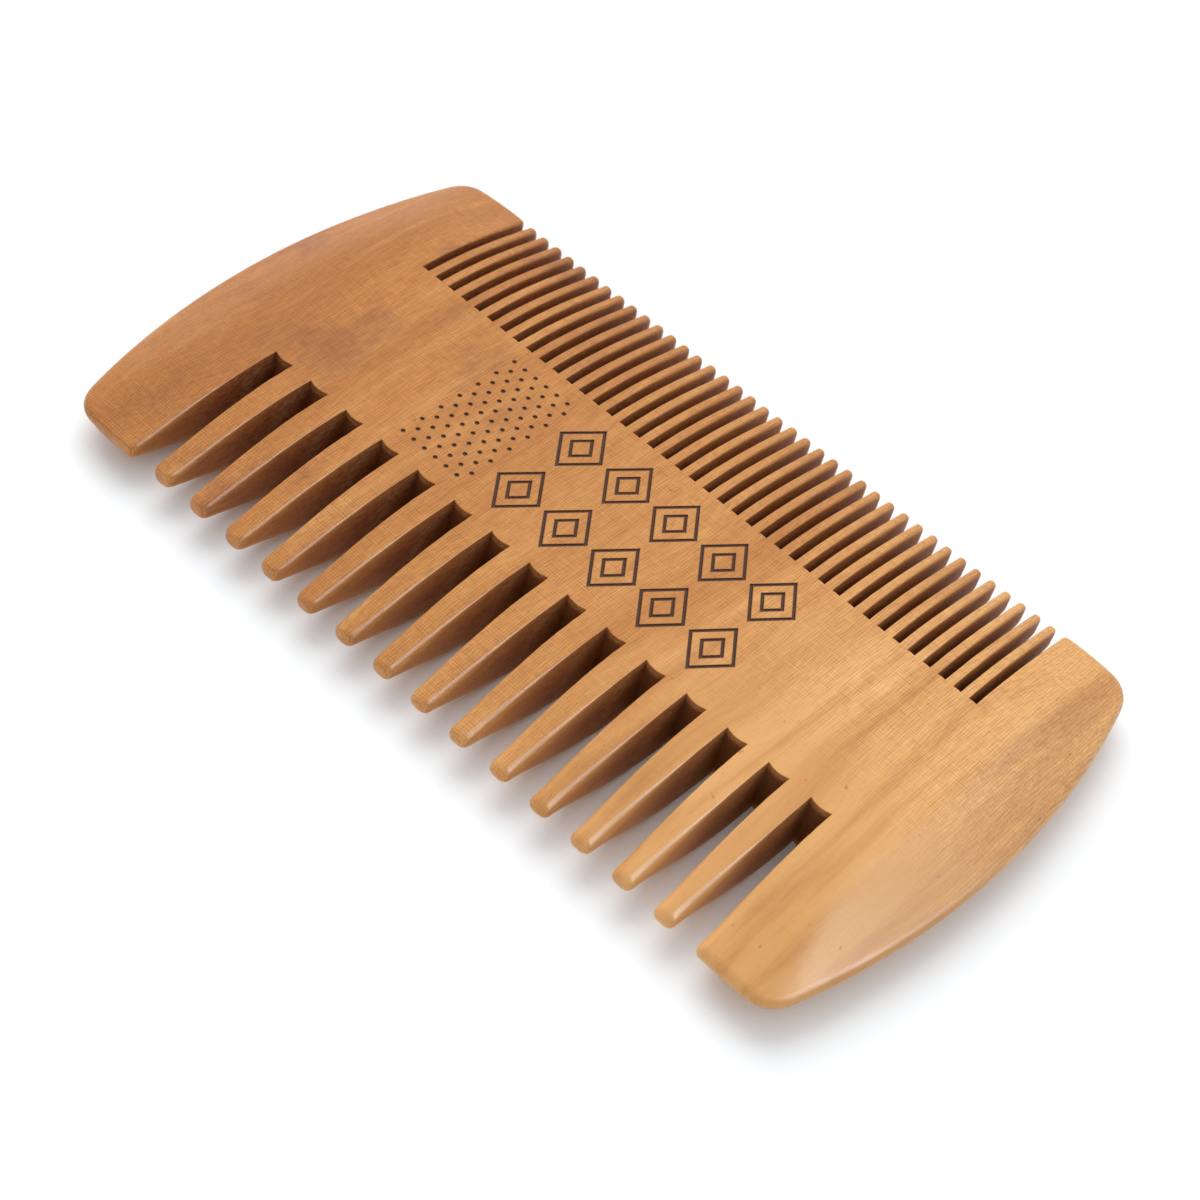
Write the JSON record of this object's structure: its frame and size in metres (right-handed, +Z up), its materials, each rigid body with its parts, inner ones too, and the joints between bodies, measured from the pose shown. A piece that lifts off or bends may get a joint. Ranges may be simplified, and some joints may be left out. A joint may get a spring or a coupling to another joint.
{
  "type": "beard comb",
  "caption": "Two-sided wooden beard comb with a row of coarse teeth, a row of fine teeth and plain burnt ornament on one face.",
  "frame": {"origin": "centre of the plan, on the flat underside", "axes": "+X along the comb's length, +Y towards the fine teeth, +Z up, out of the ornamented face"},
  "size_m": [0.1, 0.0556, 0.007],
  "materials": {
    "wood": "satin, sanded close-grained fruit wood",
    "charred_wood": "matt, burnt by a laser"
  },
  "bodies": {
    "root": {"comb_body": "wood", "engraving_char": "charred_wood"}
  },
  "joints": []
}
